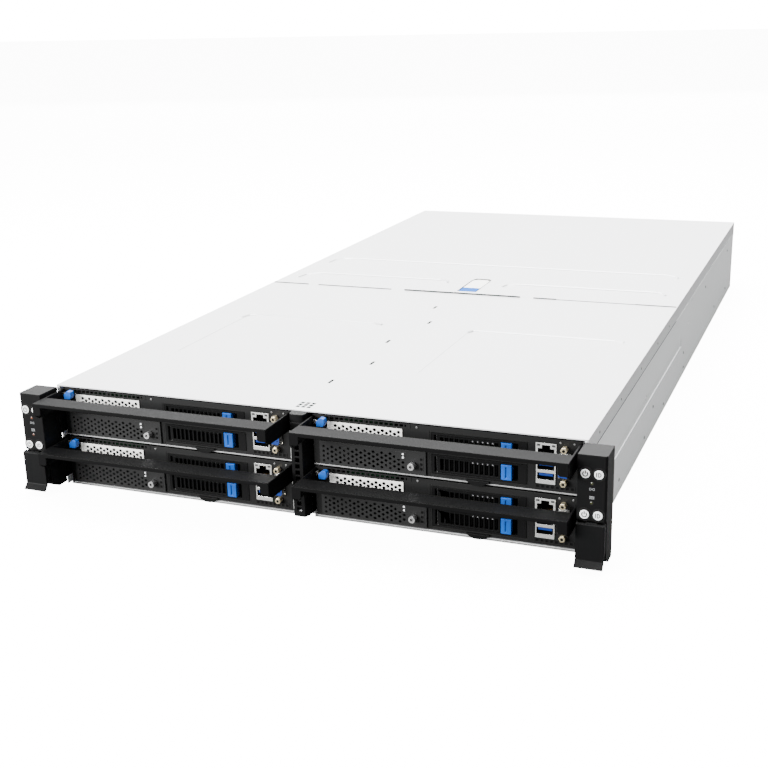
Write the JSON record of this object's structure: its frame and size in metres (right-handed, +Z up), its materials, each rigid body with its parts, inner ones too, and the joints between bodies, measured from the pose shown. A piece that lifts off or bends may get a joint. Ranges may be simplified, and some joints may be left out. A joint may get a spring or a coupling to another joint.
{
  "type": "rack server",
  "caption": "Two-unit rack server chassis with front-loading server sleds, drive carriers, pull handles, latched rack ears, fans and power supplies.",
  "frame": {"origin": "centre of the overall footprint, on the surface that the chassis stands on", "axes": "+X to the right seen from the front, +Y from the front towards the rear, +Z up"},
  "size_m": [0.482, 0.958, 0.0875],
  "materials": {
    "zinc_steel": "bright galvanised sheet",
    "black_plastic": "satin black moulding",
    "button_plastic": "white translucent",
    "sled_steel": "galvanised sheet, black handle",
    "circuit_board": "solder mask",
    "spring_steel": "spring strip with a blue thumb piece",
    "carrier_plastic": "satin black moulding",
    "blue_plastic": "blue touch point",
    "fan_plastic": "black glass-filled moulding",
    "supply_case": "bare folded case",
    "latch_metal": "die cast with a blue pad"
  },
  "bodies": {
    "chassis": {"chassis_tub": "zinc_steel", "front_cover": "zinc_steel", "bay_frame": "zinc_steel", "ear_left": "black_plastic", "ear_right": "black_plastic", "fan_wall": "fan_plastic"},
    "fan_1": {"fan_rotor_1": "fan_plastic"},
    "fan_2": {"fan_rotor_2": "fan_plastic"},
    "fan_3": {"fan_rotor_3": "fan_plastic"},
    "fan_4": {"fan_rotor_4": "fan_plastic"},
    "supply_1": {"power_supply_1": "supply_case"},
    "supply_2": {"power_supply_2": "supply_case"},
    "top_cover": {"rear_cover": "zinc_steel"},
    "top_latch": {"cover_latch": "latch_metal"},
    "ear_lever_left": {"ear_lever_left": "black_plastic"},
    "power_button_left_upper": {"power_button_left_upper": "button_plastic"},
    "id_button_left_upper": {"id_button_left_upper": "button_plastic"},
    "power_button_left_lower": {"power_button_left_lower": "button_plastic"},
    "id_button_left_lower": {"id_button_left_lower": "button_plastic"},
    "ear_lever_right": {"ear_lever_right": "black_plastic"},
    "power_button_right_upper": {"power_button_right_upper": "button_plastic"},
    "id_button_right_upper": {"id_button_right_upper": "button_plastic"},
    "power_button_right_lower": {"power_button_right_lower": "button_plastic"},
    "id_button_right_lower": {"id_button_right_lower": "button_plastic"},
    "sled_left_upper": {"sled_tray_left_upper": "sled_steel", "sled_electronics_left_upper": "circuit_board"},
    "sled_latch_left_upper": {"sled_latch_left_upper": "spring_steel"},
    "drive_carrier_left_upper_1": {"drive_carrier_left_upper_1": "carrier_plastic"},
    "drive_lever_left_upper_1": {"drive_lever_left_upper_1": "carrier_plastic"},
    "drive_release_left_upper_1": {"drive_release_left_upper_1": "blue_plastic"},
    "drive_carrier_left_upper_2": {"drive_carrier_left_upper_2": "carrier_plastic"},
    "drive_lever_left_upper_2": {"drive_lever_left_upper_2": "carrier_plastic"},
    "drive_release_left_upper_2": {"drive_release_left_upper_2": "blue_plastic"},
    "sled_left_lower": {"sled_tray_left_lower": "sled_steel", "sled_electronics_left_lower": "circuit_board"},
    "sled_latch_left_lower": {"sled_latch_left_lower": "spring_steel"},
    "drive_carrier_left_lower_1": {"drive_carrier_left_lower_1": "carrier_plastic"},
    "drive_lever_left_lower_1": {"drive_lever_left_lower_1": "carrier_plastic"},
    "drive_release_left_lower_1": {"drive_release_left_lower_1": "blue_plastic"},
    "drive_carrier_left_lower_2": {"drive_carrier_left_lower_2": "carrier_plastic"},
    "drive_lever_left_lower_2": {"drive_lever_left_lower_2": "carrier_plastic"},
    "drive_release_left_lower_2": {"drive_release_left_lower_2": "blue_plastic"},
    "sled_right_upper": {"sled_tray_right_upper": "sled_steel", "sled_electronics_right_upper": "circuit_board"},
    "sled_latch_right_upper": {"sled_latch_right_upper": "spring_steel"},
    "drive_carrier_right_upper_1": {"drive_carrier_right_upper_1": "carrier_plastic"},
    "drive_lever_right_upper_1": {"drive_lever_right_upper_1": "carrier_plastic"},
    "drive_release_right_upper_1": {"drive_release_right_upper_1": "blue_plastic"},
    "drive_carrier_right_upper_2": {"drive_carrier_right_upper_2": "carrier_plastic"},
    "drive_lever_right_upper_2": {"drive_lever_right_upper_2": "carrier_plastic"},
    "drive_release_right_upper_2": {"drive_release_right_upper_2": "blue_plastic"},
    "sled_right_lower": {"sled_tray_right_lower": "sled_steel", "sled_electronics_right_lower": "circuit_board"},
    "sled_latch_right_lower": {"sled_latch_right_lower": "spring_steel"},
    "drive_carrier_right_lower_1": {"drive_carrier_right_lower_1": "carrier_plastic"},
    "drive_lever_right_lower_1": {"drive_lever_right_lower_1": "carrier_plastic"},
    "drive_release_right_lower_1": {"drive_release_right_lower_1": "blue_plastic"},
    "drive_carrier_right_lower_2": {"drive_carrier_right_lower_2": "carrier_plastic"},
    "drive_lever_right_lower_2": {"drive_lever_right_lower_2": "carrier_plastic"},
    "drive_release_right_lower_2": {"drive_release_right_lower_2": "blue_plastic"}
  },
  "joints": [
    {"name": "fan_1_spin", "type": "hinge", "parent": "chassis", "child": "fan_1", "pos_m": [-0.1688, 0.431, 0.0412], "axis": [0, 1, 0], "continuous": true},
    {"name": "fan_2_spin", "type": "hinge", "parent": "chassis", "child": "fan_2", "pos_m": [-0.0828, 0.431, 0.0412], "axis": [0, 1, 0], "continuous": true},
    {"name": "fan_3_spin", "type": "hinge", "parent": "chassis", "child": "fan_3", "pos_m": [0.0828, 0.431, 0.0412], "axis": [0, 1, 0], "continuous": true},
    {"name": "fan_4_spin", "type": "hinge", "parent": "chassis", "child": "fan_4", "pos_m": [0.1688, 0.431, 0.0412], "axis": [0, 1, 0], "continuous": true},
    {"name": "supply_1_slide", "type": "slide", "parent": "chassis", "child": "supply_1", "axis": [0, 1, 0], "range_m": [0, 0.28]},
    {"name": "supply_2_slide", "type": "slide", "parent": "chassis", "child": "supply_2", "axis": [0, 1, 0], "range_m": [0, 0.28]},
    {"name": "top_cover_slide", "type": "slide", "parent": "chassis", "child": "top_cover", "axis": [0, 1, 0], "range_m": [0, 0.014]},
    {"name": "top_latch_swing", "type": "hinge", "parent": "top_cover", "child": "top_latch", "pos_m": [0, 0.0316, 0.0861], "axis": [-1, 0, 0], "range_deg": [0, 60]},
    {"name": "ear_lever_left_swing", "type": "hinge", "parent": "chassis", "child": "ear_lever_left", "pos_m": [-0.23065, -0.4646, 0.0354], "axis": [-1, 0, 0], "range_deg": [0, 45], "stiffness_Nm_per_rad": 0.02, "springref_deg": -17.19},
    {"name": "power_button_left_upper_press", "type": "slide", "parent": "chassis", "child": "power_button_left_upper", "axis": [0, 1, 0], "range_m": [0, 0.001], "stiffness_N_per_m": 800, "springref_m": -0.0005},
    {"name": "id_button_left_upper_press", "type": "slide", "parent": "chassis", "child": "id_button_left_upper", "axis": [0, 1, 0], "range_m": [0, 0.001], "stiffness_N_per_m": 800, "springref_m": -0.0005},
    {"name": "power_button_left_lower_press", "type": "slide", "parent": "chassis", "child": "power_button_left_lower", "axis": [0, 1, 0], "range_m": [0, 0.001], "stiffness_N_per_m": 800, "springref_m": -0.0005},
    {"name": "id_button_left_lower_press", "type": "slide", "parent": "chassis", "child": "id_button_left_lower", "axis": [0, 1, 0], "range_m": [0, 0.001], "stiffness_N_per_m": 800, "springref_m": -0.0005},
    {"name": "ear_lever_right_swing", "type": "hinge", "parent": "chassis", "child": "ear_lever_right", "pos_m": [0.23065, -0.4646, 0.0354], "axis": [-1, 0, 0], "range_deg": [0, 45], "stiffness_Nm_per_rad": 0.02, "springref_deg": -17.19},
    {"name": "power_button_right_upper_press", "type": "slide", "parent": "chassis", "child": "power_button_right_upper", "axis": [0, 1, 0], "range_m": [0, 0.001], "stiffness_N_per_m": 800, "springref_m": -0.0005},
    {"name": "id_button_right_upper_press", "type": "slide", "parent": "chassis", "child": "id_button_right_upper", "axis": [0, 1, 0], "range_m": [0, 0.001], "stiffness_N_per_m": 800, "springref_m": -0.0005},
    {"name": "power_button_right_lower_press", "type": "slide", "parent": "chassis", "child": "power_button_right_lower", "axis": [0, 1, 0], "range_m": [0, 0.001], "stiffness_N_per_m": 800, "springref_m": -0.0005},
    {"name": "id_button_right_lower_press", "type": "slide", "parent": "chassis", "child": "id_button_right_lower", "axis": [0, 1, 0], "range_m": [0, 0.001], "stiffness_N_per_m": 800, "springref_m": -0.0005},
    {"name": "sled_left_upper_slide", "type": "slide", "parent": "chassis", "child": "sled_left_upper", "axis": [0, -1, 0], "range_m": [0, 0.58]},
    {"name": "sled_latch_left_upper_swing", "type": "hinge", "parent": "sled_left_upper", "child": "sled_latch_left_upper", "pos_m": [-0.2152, -0.374, 0.08], "axis": [0, 0, 1], "range_deg": [0, 3.5], "stiffness_Nm_per_rad": 0.3, "springref_deg": -2.86},
    {"name": "drive_carrier_left_upper_1_slide", "type": "slide", "parent": "sled_left_upper", "child": "drive_carrier_left_upper_1", "axis": [0, -1, 0], "range_m": [0, 0.115]},
    {"name": "drive_lever_left_upper_1_swing", "type": "hinge", "parent": "drive_carrier_left_upper_1", "child": "drive_lever_left_upper_1", "pos_m": [-0.1179, -0.4352, 0.0553], "axis": [0, 0, -1], "range_deg": [0, 50]},
    {"name": "drive_release_left_upper_1_press", "type": "slide", "parent": "drive_carrier_left_upper_1", "child": "drive_release_left_upper_1", "axis": [1, 0, 0], "range_m": [0, 0.003], "stiffness_N_per_m": 300, "springref_m": -0.001},
    {"name": "drive_carrier_left_upper_2_slide", "type": "slide", "parent": "sled_left_upper", "child": "drive_carrier_left_upper_2", "axis": [0, -1, 0], "range_m": [0, 0.115]},
    {"name": "drive_lever_left_upper_2_swing", "type": "hinge", "parent": "drive_carrier_left_upper_2", "child": "drive_lever_left_upper_2", "pos_m": [-0.1179, -0.4352, 0.0721], "axis": [0, 0, -1], "range_deg": [0, 50]},
    {"name": "drive_release_left_upper_2_press", "type": "slide", "parent": "drive_carrier_left_upper_2", "child": "drive_release_left_upper_2", "axis": [1, 0, 0], "range_m": [0, 0.003], "stiffness_N_per_m": 300, "springref_m": -0.001},
    {"name": "sled_left_lower_slide", "type": "slide", "parent": "chassis", "child": "sled_left_lower", "axis": [0, -1, 0], "range_m": [0, 0.58]},
    {"name": "sled_latch_left_lower_swing", "type": "hinge", "parent": "sled_left_lower", "child": "sled_latch_left_lower", "pos_m": [-0.2152, -0.374, 0.0376], "axis": [0, 0, 1], "range_deg": [0, 3.5], "stiffness_Nm_per_rad": 0.3, "springref_deg": -2.86},
    {"name": "drive_carrier_left_lower_1_slide", "type": "slide", "parent": "sled_left_lower", "child": "drive_carrier_left_lower_1", "axis": [0, -1, 0], "range_m": [0, 0.115]},
    {"name": "drive_lever_left_lower_1_swing", "type": "hinge", "parent": "drive_carrier_left_lower_1", "child": "drive_lever_left_lower_1", "pos_m": [-0.1179, -0.4352, 0.0129], "axis": [0, 0, -1], "range_deg": [0, 50]},
    {"name": "drive_release_left_lower_1_press", "type": "slide", "parent": "drive_carrier_left_lower_1", "child": "drive_release_left_lower_1", "axis": [1, 0, 0], "range_m": [0, 0.003], "stiffness_N_per_m": 300, "springref_m": -0.001},
    {"name": "drive_carrier_left_lower_2_slide", "type": "slide", "parent": "sled_left_lower", "child": "drive_carrier_left_lower_2", "axis": [0, -1, 0], "range_m": [0, 0.115]},
    {"name": "drive_lever_left_lower_2_swing", "type": "hinge", "parent": "drive_carrier_left_lower_2", "child": "drive_lever_left_lower_2", "pos_m": [-0.1179, -0.4352, 0.0297], "axis": [0, 0, -1], "range_deg": [0, 50]},
    {"name": "drive_release_left_lower_2_press", "type": "slide", "parent": "drive_carrier_left_lower_2", "child": "drive_release_left_lower_2", "axis": [1, 0, 0], "range_m": [0, 0.003], "stiffness_N_per_m": 300, "springref_m": -0.001},
    {"name": "sled_right_upper_slide", "type": "slide", "parent": "chassis", "child": "sled_right_upper", "axis": [0, -1, 0], "range_m": [0, 0.58]},
    {"name": "sled_latch_right_upper_swing", "type": "hinge", "parent": "sled_right_upper", "child": "sled_latch_right_upper", "pos_m": [0.0118, -0.374, 0.08], "axis": [0, 0, 1], "range_deg": [0, 3.5], "stiffness_Nm_per_rad": 0.3, "springref_deg": -2.86},
    {"name": "drive_carrier_right_upper_1_slide", "type": "slide", "parent": "sled_right_upper", "child": "drive_carrier_right_upper_1", "axis": [0, -1, 0], "range_m": [0, 0.115]},
    {"name": "drive_lever_right_upper_1_swing", "type": "hinge", "parent": "drive_carrier_right_upper_1", "child": "drive_lever_right_upper_1", "pos_m": [0.1091, -0.4352, 0.0553], "axis": [0, 0, -1], "range_deg": [0, 50]},
    {"name": "drive_release_right_upper_1_press", "type": "slide", "parent": "drive_carrier_right_upper_1", "child": "drive_release_right_upper_1", "axis": [1, 0, 0], "range_m": [0, 0.003], "stiffness_N_per_m": 300, "springref_m": -0.001},
    {"name": "drive_carrier_right_upper_2_slide", "type": "slide", "parent": "sled_right_upper", "child": "drive_carrier_right_upper_2", "axis": [0, -1, 0], "range_m": [0, 0.115]},
    {"name": "drive_lever_right_upper_2_swing", "type": "hinge", "parent": "drive_carrier_right_upper_2", "child": "drive_lever_right_upper_2", "pos_m": [0.1091, -0.4352, 0.0721], "axis": [0, 0, -1], "range_deg": [0, 50]},
    {"name": "drive_release_right_upper_2_press", "type": "slide", "parent": "drive_carrier_right_upper_2", "child": "drive_release_right_upper_2", "axis": [1, 0, 0], "range_m": [0, 0.003], "stiffness_N_per_m": 300, "springref_m": -0.001},
    {"name": "sled_right_lower_slide", "type": "slide", "parent": "chassis", "child": "sled_right_lower", "axis": [0, -1, 0], "range_m": [0, 0.58]},
    {"name": "sled_latch_right_lower_swing", "type": "hinge", "parent": "sled_right_lower", "child": "sled_latch_right_lower", "pos_m": [0.0118, -0.374, 0.0376], "axis": [0, 0, 1], "range_deg": [0, 3.5], "stiffness_Nm_per_rad": 0.3, "springref_deg": -2.86},
    {"name": "drive_carrier_right_lower_1_slide", "type": "slide", "parent": "sled_right_lower", "child": "drive_carrier_right_lower_1", "axis": [0, -1, 0], "range_m": [0, 0.115]},
    {"name": "drive_lever_right_lower_1_swing", "type": "hinge", "parent": "drive_carrier_right_lower_1", "child": "drive_lever_right_lower_1", "pos_m": [0.1091, -0.4352, 0.0129], "axis": [0, 0, -1], "range_deg": [0, 50]},
    {"name": "drive_release_right_lower_1_press", "type": "slide", "parent": "drive_carrier_right_lower_1", "child": "drive_release_right_lower_1", "axis": [1, 0, 0], "range_m": [0, 0.003], "stiffness_N_per_m": 300, "springref_m": -0.001},
    {"name": "drive_carrier_right_lower_2_slide", "type": "slide", "parent": "sled_right_lower", "child": "drive_carrier_right_lower_2", "axis": [0, -1, 0], "range_m": [0, 0.115]},
    {"name": "drive_lever_right_lower_2_swing", "type": "hinge", "parent": "drive_carrier_right_lower_2", "child": "drive_lever_right_lower_2", "pos_m": [0.1091, -0.4352, 0.0297], "axis": [0, 0, -1], "range_deg": [0, 50]},
    {"name": "drive_release_right_lower_2_press", "type": "slide", "parent": "drive_carrier_right_lower_2", "child": "drive_release_right_lower_2", "axis": [1, 0, 0], "range_m": [0, 0.003], "stiffness_N_per_m": 300, "springref_m": -0.001}
  ],
  "couplings": [
    {"joint": "top_latch_swing", "follows": "top_cover_slide", "rad_per_m": 74.8}
  ]
}
